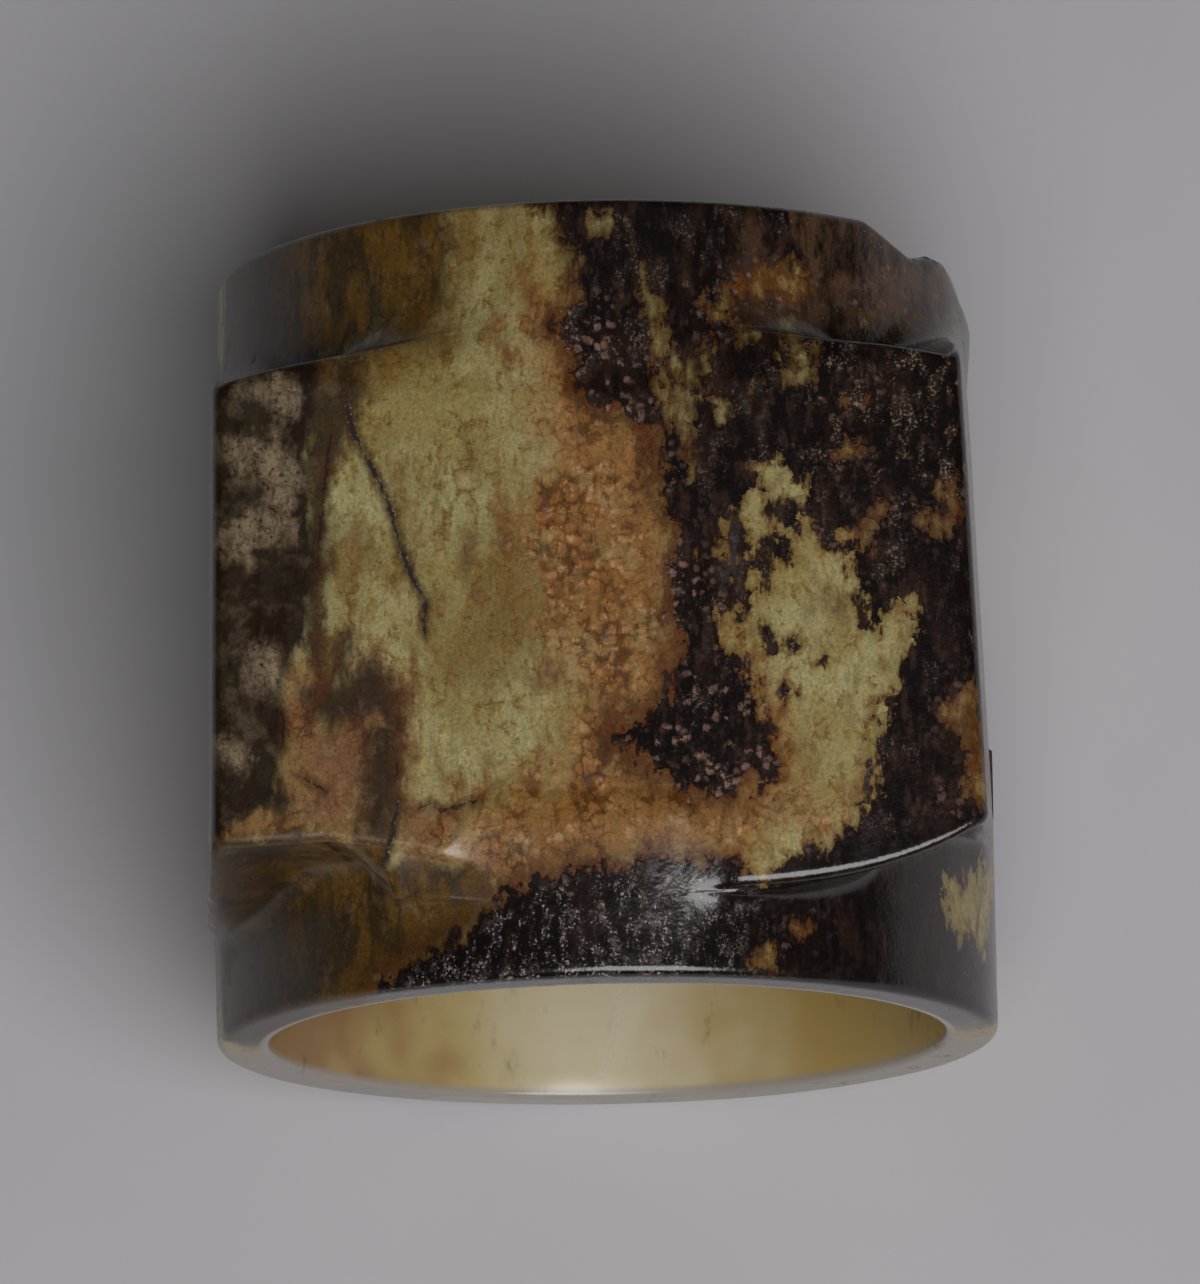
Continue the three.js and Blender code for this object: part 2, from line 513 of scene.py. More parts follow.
    def mesh(self, name: str) -> tuple[bpy.types.Mesh, np.ndarray]:
        """Makes the skin as a closed mesh standing on the table.

        Args:
            name: Name of the mesh.

        Returns:
            The mesh, and its points in millimetres from the middle of the bore.
        """
        grid = self.grid()
        columns, rings = grid.shape[:2]
        number = np.arange(columns * rings).reshape(columns, rings)
        beside = np.roll(number, -1, axis=0)
        corners = [number, beside, np.roll(beside, -1, axis=1), np.roll(number, -1, axis=1)]
        quads = np.stack(corners, axis=2).reshape(-1, 4)
        points = grid.reshape(-1, 3)
        mesh = bpy.data.meshes.new(name)
        mesh.from_pydata(((points + [0, 0, self.rest_height]) * MM).tolist(), [], quads.tolist())
        mesh.shade_smooth()
        return mesh, points


def line_distance(pixels: np.ndarray, start: np.ndarray, stop: np.ndarray) -> np.ndarray:
    """Measures from pixels to the straight line between two points.

    Args:
        pixels: Rows of x and y.
        start: Start of the line.
        stop: End of the line.

    Returns:
        Distances in pixels.
    """
    along = stop - start
    length = max(float(along @ along), TINY)
    part = np.clip((pixels - start) @ along / length, 0, 1)[:, None]
    return np.linalg.norm(pixels - start - part * along, axis=1)


@dataclass(frozen=True)
class Patch:
    """A patch of the stone, as a closed outline of picture points."""

    outline: tuple[Pair, ...]

    def depth(self, pixels: np.ndarray) -> np.ndarray:
        """Measures how far inside the patch pixels are.

        Args:
            pixels: Rows of x and y.

        Returns:
            Distances to the outline, negative outside.
        """
        corners = np.array(self.outline, float)
        inside = np.zeros(len(pixels), bool)
        nearest = np.full(len(pixels), np.inf)
        for start, stop in zip(corners, np.roll(corners, -1, axis=0)):
            nearest = np.minimum(nearest, line_distance(pixels, start, stop))
            spans = (start[1] > pixels[:, 1]) != (stop[1] > pixels[:, 1])
            rise = stop[1] - start[1] or 1.0
            crossing = start[0] + (pixels[:, 1] - start[1]) / rise * (stop[0] - start[0])
            inside ^= spans & (pixels[:, 0] < crossing)
        return np.where(inside, nearest, -nearest)


@dataclass(frozen=True)
class Streak:
    """A streak or spot of the stone, as a broken line of picture points with a half width in pixels."""

    half_width: float
    line: tuple[Pair, ...]

    def depth(self, pixels: np.ndarray) -> np.ndarray:
        """Measures how far inside the streak pixels are.

        Args:
            pixels: Rows of x and y.

        Returns:
            Distances to its edge, negative outside.
        """
        line = np.array(self.line, float)
        stretches = [line_distance(pixels, start, stop) for start, stop in zip(line, line[1:])]
        return self.half_width - np.min(stretches, axis=0)


@dataclass(frozen=True)
class Crack:
    """A crack across the upper face, or the crease under the flaked lower edge whose shadow is painted like
    one, as a line of picture points.

    An upright crack has one point for each place along the bore, a level one for each place across it.
    Sunk is how far below the face it lies, in millimetres.
    """

    line: tuple[Pair, ...]
    upright: bool = True
    sunk: float = 0.0

    def on_face(self, view: PhotoView, form: CongForm) -> np.ndarray:
        """Finds the crack on the upper face.

        Args:
            view: View whose picture points the line holds.
            form: Form of the cong.

        Returns:
            Rows of run and offset in millimetres, with the run growing.
        """
        cut = form.faces[Face.UPPER.value]
        line = np.array(self.line, float)
        top = np.full(len(line), cut.half - self.sunk)
        points = view.at_height(line, top)
        points = view.at_height(line, top - points[:, 0] ** 2 / (2 * cut.bulge))
        run, offset = (points[:, 1], points[:, 0]) if self.upright else (points[:, 0], points[:, 1])
        order = np.argsort(run)
        return np.stack([run[order], offset[order]], axis=1)


@dataclass(frozen=True)
class Wave:
    """A wave through the stone: its height, its length per radian along each axis, and where it starts."""

    height: float
    lengths: tuple[float, float, float]
    start: float = 0.0

    def at(self, points: np.ndarray) -> np.ndarray:
        """Gives the wave's height at points."""
        return self.height * np.sin(points @ (1 / np.array(self.lengths)) + self.start)


@dataclass(frozen=True)
class StoneZones:
    """Where the stone changes colour. Zones run down through the piece from the upper face, and drift."""

    view: PhotoView
    dark: tuple[Patch, ...] = (
        # Upper band
        Patch((
            (538, 190), (1010, 190), (1010, 600), (700, 600), (690, 545), (664, 505), (664, 470), (655, 432),
            (638, 414), (600, 398), (578, 384), (574, 348), (556, 332), (574, 306), (576, 260), (556, 214),
        )),
        # Right flank
        Patch(((800, 440), (1010, 440), (1030, 1000), (780, 880), (800, 700))),
        # Lower collar
        Patch((
            (365, 1008), (385, 976), (430, 952), (472, 930), (492, 897), (540, 877), (585, 866), (690, 856),
            (738, 860), (785, 866), (845, 836), (1020, 800), (1030, 1040), (760, 992), (480, 1000),
        )),
        # Hook on the middle of the face
        Patch((
            (672, 560), (722, 560), (726, 640), (768, 700), (778, 772), (760, 786), (722, 800), (694, 796),
            (648, 768), (616, 738), (624, 722), (666, 698), (678, 660),
        )),
    )
    island: tuple[Patch, ...] = (
        Patch((
            (716, 530), (724, 510), (752, 508), (762, 488), (780, 474), (798, 480), (807, 502), (828, 546),
            (844, 558), (859, 600), (866, 632), (880, 630), (895, 596), (917, 586), (924, 602), (896, 672),
            (879, 722), (878, 796), (842, 834), (785, 864), (768, 880), (750, 874), (744, 856), (766, 792),
            (780, 774), (778, 748), (770, 726), (756, 690), (742, 660), (722, 640), (722, 584), (716, 556),
        )),
    )
    collar_patch: tuple[Patch, ...] = (
        Patch(((938, 905), (958, 878), (1015, 856), (1015, 992), (982, 980), (966, 940))),
    )
    dark_spots: tuple[Streak, ...] = (
        Streak(8, ((778, 548), (784, 560))), Streak(4, ((744, 572), (754, 562), (770, 566))),
        Streak(4, ((770, 570), (772, 598))), Streak(4, ((729, 586), (732, 606), (736, 620))),
        Streak(8, ((762, 622), (768, 634))), Streak(5, ((776, 646), (790, 644))),
        Streak(5, ((764, 492), (768, 504))), Streak(4, ((795, 512), (789, 526))),
        Streak(3, ((824, 656), (823, 664))), Streak(4, ((786, 690), (794, 692))),
        Streak(4, ((755, 700), (757, 716))),
        Streak(4, ((736, 536), (742, 548))), Streak(4, ((752, 592), (756, 604))),
    )
    pale_streaks: tuple[Streak, ...] = (
        Streak(9, ((644, 276), (654, 312), (657, 350), (666, 378))), Streak(11, ((676, 360), (682, 396))),
        Streak(10, ((690, 360), (698, 388))), Streak(9, ((708, 372), (716, 398), (722, 412))),
        Streak(8, ((668, 385), (684, 425), (697, 466))), Streak(13, ((786, 326), (798, 352), (797, 372))),
        Streak(8, ((727, 312), (746, 335), (758, 336))), Streak(6, ((598, 224), (612, 220))),
        Streak(9, ((742, 398), (752, 392))), Streak(9, ((706, 348), (712, 362))),
        Streak(9, ((762, 466), (770, 480))),
    )
    tan_streaks: tuple[Streak, ...] = (
        Streak(18, ((744, 286), (770, 282), (792, 288))), Streak(5, ((700, 306), (716, 318))),
        Streak(9, ((872, 316), (892, 308), (916, 322))), Streak(6, ((880, 282), (896, 276))),
        Streak(5, ((836, 455), (860, 450))), Streak(5, ((846, 404), (862, 398))),
        Streak(5, ((840, 536), (862, 534), (872, 552))), Streak(5, ((862, 524), (882, 506))),
        Streak(6, ((924, 520), (938, 526), (955, 516), (948, 486))),
        Streak(14, ((955, 714), (968, 702), (974, 734), (978, 790))), Streak(7, ((966, 796), (975, 790))),
        Streak(11, ((820, 824), (832, 814))),
        Streak(5, ((796, 924), (804, 930))), Streak(6, ((760, 962), (772, 956))),
        Streak(5, ((384, 974), (394, 968))), Streak(9, ((742, 790), (756, 796), (752, 782))),
    )
    tan: tuple[Patch, ...] = (
        Patch((
            (520, 322), (540, 280), (600, 300), (660, 400), (690, 530), (720, 640), (790, 720), (800, 790),
            (752, 850), (740, 880), (600, 885), (505, 905), (466, 884), (396, 876), (398, 808), (480, 806),
            (530, 786), (566, 740), (576, 690), (556, 630), (516, 520), (545, 460), (530, 410),
        )),
        Patch((
            (284, 650), (312, 690), (330, 716), (346, 690), (362, 664), (384, 684), (398, 720), (396, 800),
            (374, 868), (330, 842), (222, 834), (230, 812), (282, 806), (284, 720),
        )),
    )
    brown: tuple[Patch | Streak, ...] = (
        Patch(((205, 190), (440, 190), (452, 240), (446, 300), (420, 330), (330, 352), (213, 395))),
        Patch((
            (296, 366), (364, 344), (366, 392), (348, 440), (330, 480), (324, 690), (300, 640), (304, 480),
        )),
        Patch((
            (205, 844), (300, 840), (332, 848), (376, 872), (400, 858), (470, 862), (494, 890), (470, 932),
            (425, 955), (380, 980), (360, 1012), (205, 1070),
        )),
        Patch((
            (300, 690), (338, 676), (372, 655), (402, 690), (402, 760), (374, 716), (350, 722), (328, 744),
        )),
        Streak(19, ((382, 740), (380, 800), (370, 850))), Streak(8, ((312, 852), (372, 864))),
        Streak(9, ((346, 640), (340, 690))), Streak(9, ((266, 796), (278, 802))),
    )
    stain: tuple[Streak, ...] = (
        Streak(26, ((352, 372), (400, 356), (450, 330))), Streak(12, ((432, 605), (438, 650))),
        Streak(12, ((376, 440), (396, 500), (412, 570))), Streak(40, ((470, 660), (520, 600), (520, 540))),
        Streak(12, ((348, 540), (340, 640), (330, 700))), Streak(20, ((410, 830), (470, 850))),
        Streak(18, ((468, 205), (462, 260), (444, 322))), Streak(18, ((520, 205), (505, 300))),
    )
    weathered: tuple[Patch, ...] = (
        Patch((
            (195, 370), (318, 352), (306, 470), (318, 560), (304, 640), (284, 690), (282, 800), (195, 845),
        )),
    )
    bleached: tuple[Streak, ...] = (
        Streak(20, ((262, 452), (282, 480))), Streak(22, ((244, 536), (276, 520))),
        Streak(10, ((240, 446), (246, 462))), Streak(8, ((222, 744), (240, 758))),
        Streak(12, ((262, 664), (290, 700))), Streak(14, ((282, 396), (262, 390))),
    )
    drift_x: tuple[Wave, ...] = (Wave(9, (math.inf, 9.1, 12.7), 1.3), Wave(4.5, (5.3, math.inf, -7.9)))
    drift_y: tuple[Wave, ...] = (Wave(9, (8.3, math.inf, -10.9), 0.4), Wave(4.5, (math.inf, 4.7, 6.1)))
    drift_start: float = 12.0
    drift_full: float = -8.0

    def drifted(self, points: np.ndarray) -> np.ndarray:
        """Shifts points far below the upper face sideways, so that the zones wander through the stone.

        Args:
            points: Rows of x, y, z in millimetres from the middle of the bore.

        Returns:
            Shifted points.
        """
        amount = smooth(-self.drift_start, -self.drift_full, -points[:, 2])
        shift = np.zeros_like(points)
        for axis, waves in enumerate((self.drift_x, self.drift_y)):
            shift[:, axis] = amount * sum(wave.at(points) for wave in waves)
        return points + shift

    def union(self, pixels: np.ndarray, shapes: Sequence[Patch | Streak]) -> np.ndarray:
        """Measures how far inside any of several shapes pixels are."""
        return np.max([shape.depth(pixels) for shape in shapes], axis=0)

    def depths(self, points: np.ndarray) -> dict[Zone, np.ndarray]:
        """Works out how deep inside each zone of the outer skin points are.

        Args:
            points: Rows of x, y, z in millimetres from the middle of the bore.

        Returns:
            Zone to depths in millimetres, negative outside.
        """
        pixels = self.view.pixels(self.drifted(points))
        clear = (*self.island, *self.collar_patch)
        light = self.union(pixels, (*clear, *self.pale_streaks, *self.tan_streaks))
        dark = np.minimum(self.union(pixels, self.dark), -light)
        found = {
            Zone.DARK: np.maximum(dark, self.union(pixels, self.dark_spots)),
            Zone.CLEAR: self.union(pixels, clear),
            Zone.TAN: self.union(pixels, (*self.tan, *self.tan_streaks)),
            Zone.BROWN: self.union(pixels, self.brown),
            Zone.STAIN: self.union(pixels, self.stain),
            Zone.WEATHERED: self.union(pixels, self.weathered),
            Zone.BLEACHED: self.union(pixels, self.bleached),
        }
        return {zone: depth / self.view.pixels_per_mm for zone, depth in found.items()}


@dataclass(frozen=True)
class Nephrite:
    """Polished nephrite, mottled by iron staining and long burial.

    The felted mineral takes a waxy, nearly glassy polish. Clear stone is yellow-green, stained stone is
    granular and duller, and the darkest stone is the glossiest.
    """

    name: str = "polished_nephrite"
    clear: str = "#a8965c"
    clear_pale: str = "#b9ad78"
    thread: str = "#4f3616"
    stain: str = "#7c5a27"
    tan: str = "#9c6530"
    russet: str = "#86461b"
    dusky_pink: str = "#8a6448"
    umber: str = "#42240c"
    grain: str = "#c39466"
    grain_pink: str = "#937265"
    dark: str = "#1c1514"
    dark_brown: str = "#3f2b22"
    dark_grey: str = "#2e2626"
    olive: str = "#70501f"
    brown: str = "#2a1708"
    grey_tan: str = "#937e64"
    dusk: str = "#221710"
    # Painted glints and faint sheen on the lower collar's dark stone
    painted_belt_glint: str = "#b3a8a2"
    gap: str = "#1e110a"
    # Painted glints along the cracks' lips
    painted_lip_glint: str = "#c4b79c"
    bore: str = "#b5a26c"
    # Painted pool of light on the bore's floor
    bore_light_pool: str = "#d8d0ba"
    bore_amber: str = "#b2965a"
    bore_brown: str = "#967350"
    # Painted reflection on the polished face of the lower rim
    rim_reflection_grey: str = "#9d9792"
    ior: float = 1.61
    cloud_mm: float = 8.0
    ragged_mm: float = 2.2
    clump_mm: float = 2.6
    fine_mm: float = 0.8
    # The real grit is finer, and is drawn as coarse as it needs to show
    grit_mm: float = 0.22
    net_mm: float = 1.3
    pore_mm: float = 0.4
    grain_mm: float = 0.7
    grain_bend_mm: tuple[float, float, float] = (1.6, 1.6, 0.8)
    fibre_stretch: float = 0.42
    noise_roughness: float = 0.62
    mottle_window: Pair = (0.3, 0.7)
    fine_mottle: Pair = (0.72, 1.2)
    grit_mottle: Pair = (0.74, 1.24)
    bore_cloud_mm: float = 18.0
    clear_roughness: float = 0.24
    dark_roughness: float = 0.14
    roughness_mottle: float = 0.12
    brown_dullness: float = 0.05
    gap_dullness: float = 0.5
    break_dullness: float = 0.5
    clear_pores: float = 0.02
    dark_pores: float = 0.05
    belt_pores: float = 0.03
    belt_top: Pair = (-14.0, -20.0)
    pore_blend_mm: float = 0.5
    pore_strength: float = 0.6
    crack_half_mm: float = 0.12
    # Brown beside the cracks: partly real stain, partly painted shade where the surface bends into them
    crack_stain_and_shade_mm: float = 0.7
    # Hairlines, and the painted shadow of the crease, share these widths
    hairline_and_crease_half_mm: float = 0.06
    hairline_stain_and_shade_mm: float = 0.8
    gap_edge_mm: Pair = (-0.02, 0.03)
    lip_mm: float = 0.16
    crack_wander_mm: float = 0.8
    # Heights above the table between which cracks fade in
    crack_heights_mm: Pair = (46.0, 48.0)
    jag_share: float = 0.4
    jag_mm: float = 0.35
    crack_end: float = 0.04
    crack_taper: float = 1.6
    crack_fade: float = 0.9
    crack_far: float = 60.0
    cracks: tuple[Crack, ...] = (
        Crack((
            (347, 372), (345, 395), (352, 425), (362, 452), (377, 476), (386, 497), (394, 520), (400, 546),
            (411, 576), (425, 600), (424, 622), (427, 656),
        )),
        Crack(((396, 780), (398, 806), (392, 834), (387, 852), (377, 870), (375, 884))),
    )
    hairlines_and_crease_shadow: tuple[Crack, ...] = (
        # The first is no crack: it paints the shadow in the crease under the flaked tongue of the lower edge
        Crack(((304, 846), (322, 850), (344, 858), (371, 872), (376, 878)), upright=False, sunk=4.0),
        Crack(((334, 412), (328, 450), (324, 486), (319, 540), (316, 590), (317, 640))),
        Crack(((343, 628), (337, 652), (334, 676), (326, 694))),
        Crack(((399, 806), (416, 811), (430, 804), (441, 812), (470, 803), (500, 799)), upright=False),
        Crack(((250, 500), (276, 511), (300, 518)), upright=False),
        Crack(((280, 768), (304, 780), (326, 792), (346, 776)), upright=False),
        Crack(((394, 742), (397, 770), (398, 800))),
        Crack(((282, 690), (284, 730), (281, 770))),
    )

    def build(self, view: PhotoView, form: CongForm) -> bpy.types.Material:
        """Makes the material.

        Args:
            view: View whose picture points the cracks hold.
            form: Form of the cong.

        Returns:
            The material, which reads Object coordinates and the zones that the skin carries.
        """
        material = bpy.data.materials.new(self.name)
        material.use_nodes = True
        material.node_tree.nodes.clear()
        StonePainter(material.node_tree, self, view, form).paint()
        return material


class StonePainter:
    """Lays the colours of the stone over one another in a shader tree."""

    def __init__(self, tree: Any, finish: Nephrite, view: PhotoView, form: CongForm) -> None:
        """Sets up the patterns that the layers share.

        Args:
            tree: Empty shader tree.
            finish: Colours and sizes.
            view: View whose picture points the cracks hold.
            form: Form of the cong.
        """
        self.tree, self.finish, self.view, self.form = tree, finish, view, form
        place = add(tree, "ShaderNodeTexCoord", out="Object")
        mm = add(tree, "ShaderNodeMapping", {"Vector": place, "Scale": (1 / MM,) * 3})
        fibre = add(tree, "ShaderNodeMapping", {"Vector": mm, "Scale": (1, finish.fibre_stretch, 1)})
        self.x = add(tree, "ShaderNodeSeparateXYZ", [mm], "X")
        self.y, self.z = self.x.node.outputs["Y"], self.x.node.outputs["Z"]
        noises = []
        for size, detail, along in (
            (finish.cloud_mm, 2, mm),
            (finish.ragged_mm, 5, fibre),
            (finish.clump_mm, 3, mm),
            (finish.fine_mm, 4, fibre),
            (finish.grit_mm, 2, mm),
            (finish.pore_mm, 1, mm),
        ):
            inputs = {"Vector": along, "Scale": 1 / size, "Detail": detail}
            inputs["Roughness"] = finish.noise_roughness
            noises.append(add(tree, "ShaderNodeTexNoise", inputs))
        self.cloud, self.ragged, self.clump, self.fine, self.grit, self.pore = noises
        bend = add(tree, "ShaderNodeCombineXYZ", [self.fine, self.ragged, self.grit])
        bent = add(tree, "ShaderNodeVectorMath", [bend, finish.grain_bend_mm, mm], operation="MULTIPLY_ADD")
        self.seam = add(tree, "ShaderNodeTexVoronoi", {"Vector": bent, "Scale": 1 / finish.grain_mm})
        cells = {"Vector": bent, "Scale": 1 / finish.net_mm}
        self.net = add(tree, "ShaderNodeTexVoronoi", cells, feature="DISTANCE_TO_EDGE")
        self.chance = add(tree, "ShaderNodeSeparateColor", [self.seam.node.outputs["Color"]])
        jag = add(tree, "ShaderNodeMath", [self.grit, finish.jag_share, self.pore], operation="MULTIPLY_ADD")
        jag = add(tree, "ShaderNodeMapRange", [jag, 0, 1 + finish.jag_share, -finish.jag_mm, finish.jag_mm])
        self.jagged_x = add(tree, "ShaderNodeMath", [self.x, jag], operation="ADD")
        self.jagged_y = add(tree, "ShaderNodeMath", [self.y, jag], operation="ADD")
        swing = add(tree, "ShaderNodeCombineXYZ", [self.ragged, self.fine, self.chance])
        self.swing = add(tree, "ShaderNodeVectorMath", [swing, (NOISE_MIDDLE,) * 3], operation="SUBTRACT")
        self.inside = add(tree, "ShaderNodeAttribute", out="Fac", attribute_name=Zone.BORE.value)
        self.colour: Any = linear(finish.clear)

    def lay(self, colour: str, strength: float, *masks: Any) -> None:
        """Lays a colour over what is painted so far.

        Args:
            colour: Hex colour.
            strength: How much of it covers where every mask is 1.
            masks: Masks from 0 to 1, or patterns with the values where they start and are full.
        """
        amount: Any = strength
        for mask in masks:
            if isinstance(mask, tuple):
                mask = add(self.tree, "ShaderNodeMapRange", mask, interpolation_type="SMOOTHSTEP")
            amount = add(self.tree, "ShaderNodeMath", [mask, amount], operation="MULTIPLY")
        inputs = {0: amount, MIX_UNDER: self.colour, MIX_OVER: linear(colour)}
        self.colour = add(self.tree, "ShaderNodeMix", inputs, MIX_OUT, data_type="RGBA")

    def zone(self, zone: Zone, swing: tuple[float, float, float], soft: float, grow: float = 0) -> Socket:
        """Makes the mask of a zone, with a ragged edge.

        Args:
            zone: The zone.
            swing: How far large, small and single-grain wanders move the edge, in millimetres.
            soft: Half width of the blend in millimetres.
            grow: How far the whole edge moves out, in millimetres.

        Returns:
            Mask from 0 to 1.
        """
        depth = add(self.tree, "ShaderNodeAttribute", out="Fac", attribute_name=zone.value)
        moved = add(self.tree, "ShaderNodeVectorMath", [self.swing, swing], "Value", operation="DOT_PRODUCT")
        total = add(self.tree, "ShaderNodeMath", [depth, moved], operation="ADD")
        limits = [total, -soft - grow, soft - grow]
        return add(self.tree, "ShaderNodeMapRange", limits, interpolation_type="SMOOTHSTEP")

    def crack_distance(self, crack: Crack) -> Socket:
        """Measures from the surface to a crack's line.

        Args:
            crack: The crack.

        Returns:
            Millimetres, large past the crack's ends.
        """
        tree, finish = self.tree, self.finish
        run, offset = crack.on_face(self.view, self.form).T
        runs, offsets = (self.y, self.jagged_x) if crack.upright else (self.x, self.jagged_y)
        first, last = run[0], run[-1]
        path = [(first - finish.crack_end, finish.crack_far), *zip(run, offset)]
        path.append((last + finish.crack_end, finish.crack_far))
        taper = [(first, finish.crack_fade), (first + finish.crack_taper, 0)]
        taper += [(last - finish.crack_taper, 0), (last, finish.crack_fade)]
        curves = []
        for spots in (path, taper):
            curve = add(tree, "ShaderNodeFloatCurve", {"Value": runs})
            mapping = curve.node.mapping
            mapping.use_clip = False
            mapping.extend = "HORIZONTAL"
            points = mapping.curves[0].points
            points[0].location, points[-1].location = spots[0], spots[-1]
            for spot in spots[1:-1]:
                points.new(*spot)
            for point in points:
                point.handle_type = "VECTOR"
            mapping.update()
            curves.append(curve)
        beside = add(tree, "ShaderNodeMath", [offsets, curves[0]], operation="SUBTRACT")
        beside = add(tree, "ShaderNodeMath", [beside], operation="ABSOLUTE")
        return add(tree, "ShaderNodeMath", [beside, curves[1]], operation="ADD")

    def crack_masks(self, cracks: Sequence[Crack], half_width: float, beside: float) -> list[Socket]:
        """Makes the masks of several cracks.

        Args:
            cracks: The cracks.
            half_width: Half width of their gaps in millimetres.
            beside: How far the stain beside them reaches, with painted shade where the surface bends into
                them, in millimetres.

        Returns:
            Masks of the gaps, of their lips and of the stain and painted shade beside them.
        """
        tree, finish = self.tree, self.finish
        wander = finish.crack_wander_mm
        away: Any = finish.crack_far
        for crack in cracks:
            away = add(tree, "ShaderNodeMath", [self.crack_distance(crack), away], operation="MINIMUM")
        narrowest = half_width - wander / 2
        edge = add(tree, "ShaderNodeMath", [self.fine, wander, narrowest], operation="MULTIPLY_ADD")
        total = add(tree, "ShaderNodeMath", [edge, away], operation="SUBTRACT")
        top = add(tree, "ShaderNodeMapRange", [self.z, *finish.crack_heights_mm])
        outside = add(tree, "ShaderNodeMath", [top, self.inside], operation="SUBTRACT", use_clamp=True)
        masks = []
        for limits in (finish.gap_edge_mm, (-finish.lip_mm, 0), (-beside, 0)):
            mask = add(tree, "ShaderNodeMapRange", [total, *limits], interpolation_type="SMOOTHSTEP")
            masks.append(add(tree, "ShaderNodeMath", [mask, outside], operation="MULTIPLY"))
        return masks

    def clear_stone(self) -> None:
        """Paints the clear yellow-green stone, with its brown mottles and fine threads."""
        finish = self.finish
        self.lay(finish.clear_pale, 1, (self.cloud, 0.4, 0.62))
        self.lay(finish.stain, 0.6, (self.ragged, 0.48, 0.68))
        self.lay(finish.stain, 0.6, (self.fine, 0.48, 0.64), (self.clump, 0.38, 0.56))
        self.lay(finish.stain, 0.65, self.zone(Zone.STAIN, (6, 5, 0), 2.0))
        self.lay(finish.stain, 0.4, (self.net, 0.2, 0.02), (self.fine, 0.44, 0.58))
        threads = [(self.net, 0.05, 0.01), (self.fine, 0.46, 0.56), (self.clump, 0.42, 0.56)]
        self.lay(finish.thread, 0.5, *threads)

    def tan_stone(self) -> Socket:
        """Paints the granular tan stone: pale grains on a ground that turns russet in places.

        Returns:
            Mask of its zone.
        """
        finish = self.finish
        tan = self.zone(Zone.TAN, (7, 2, 0.6), 2.8)
        self.lay(finish.tan, 0.85, tan)
        self.lay(finish.dusky_pink, 0.75, tan, (self.x, -8, -13))
        self.lay(finish.russet, 0.4, tan, (self.ragged, 0.5, 0.66))
        self.lay(finish.clear_pale, 0.3, tan, (self.clump, 0.52, 0.66))
        grain = [(self.seam, 0.5, 0.25), (self.chance, 0.3, 0.6), (self.clump, 0.42, 0.54), (self.x, -13, -6)]
        self.lay(finish.grain, 0.95, tan, *grain)
        self.lay(finish.umber, 0.6, tan, (self.seam, 0.48, 0.66), (self.ragged, 0.42, 0.56))
        self.lay(finish.umber, 0.4, tan, (self.net, 0.08, 0.01), (self.fine, 0.42, 0.54))
        return tan

    def stained_edge(self) -> Socket:
        """Paints the brown stained collars, with painted shade towards their left edge, and the weathered
        left edge with its bleached patches.

        Returns:
            Mask of the brown stone.
        """
        finish = self.finish
        brown = self.zone(Zone.BROWN, (3, 1.5, 0.3), 0.9)
        self.lay(finish.brown, 0.9, brown)
        from_middle = add(self.tree, "ShaderNodeMath", [self.y], operation="ABSOLUTE")
        self.lay(finish.olive, 0.9, brown, (self.ragged, 0.42, 0.58), (from_middle, 13, 18))
        self.lay(finish.grey_tan, 0.18, brown, (self.clump, 0.48, 0.62), (self.fine, 0.4, 0.6))
        self.lay(finish.russet, 0.25, brown, (self.ragged, 0.48, 0.6), (from_middle, 17, 12))
        self.lay(finish.dusk, 0.4, brown, (self.net, 0.08, 0.01), (self.clump, 0.44, 0.56))
        # Painted shade: the brown stone darkens towards the left edge, on the side of the collars turned from
        # the light
        self.lay(finish.dusk, 0.7, brown, (self.x, -18, -23))
        worn = self.zone(Zone.WEATHERED, (2, 1.2, 0.2), 0.5)
        bleached = self.zone(Zone.BLEACHED, (5, 3, 0.4), 1.2)
        self.lay(finish.dusk, 0.95, worn)
        self.lay(finish.brown, 0.8, worn, (self.ragged, 0.44, 0.6))
        self.lay(finish.grey_tan, 0.2, worn, (self.clump, 0.48, 0.62))
        self.lay(finish.grey_tan, 0.9, worn, bleached, (self.clump, 0.34, 0.5), (self.pore, 0.2, 0.5))
        self.lay(finish.dark, 0.4, worn, (self.net, 0.1, 0.01), (self.ragged, 0.42, 0.54))
        return brown

    def dark_stone(self, tan: Socket) -> Socket:
        """Paints the brown-black stone, which is russet where it meets the tan stone, with painted glints and
        a faint painted sheen on the lower collar.

        Args:
            tan: Mask of the tan stone.

        Returns:
            Mask of the dark stone.
        """
        finish = self.finish
        swing = (4.5, 3.6, 0.8)
        far = add(self.tree, "ShaderNodeAttribute", out="Fac", attribute_name=Zone.CLEAR.value)
        self.lay(finish.stain, 0.8, self.zone(Zone.DARK, swing, 0.7, 0.6))
        self.lay(finish.umber, 0.85, (far, -0.6, -2.2), self.zone(Zone.DARK, swing, 1.5, 1.1))
        self.lay(finish.russet, 0.75, tan, self.zone(Zone.DARK, swing, 0.3, 0.3))
        dark = self.zone(Zone.DARK, swing, 0.3)
        self.lay(finish.dark, 1, dark)
        self.lay(finish.dark_brown, 0.4, dark, (self.ragged, 0.5, 0.62))
        self.lay(finish.dusky_pink, 0.4, dark, (self.ragged, 0.4, 0.6), (self.y, 18, 20), (self.x, 9, 14))
        self.lay(finish.dark_brown, 0.6, dark, (self.fine, 0.52, 0.62), (self.y, -20, -16))
        self.lay(finish.dark_grey, 0.6, dark, (self.clump, 0.5, 0.6), (self.fine, 0.45, 0.55))
        pink = [(self.seam, 0.5, 0.2), (self.chance, 0.3, 0.6), (self.clump, 0.36, 0.52)]
        self.lay(finish.grain_pink, 0.85, dark, tan, *pink)
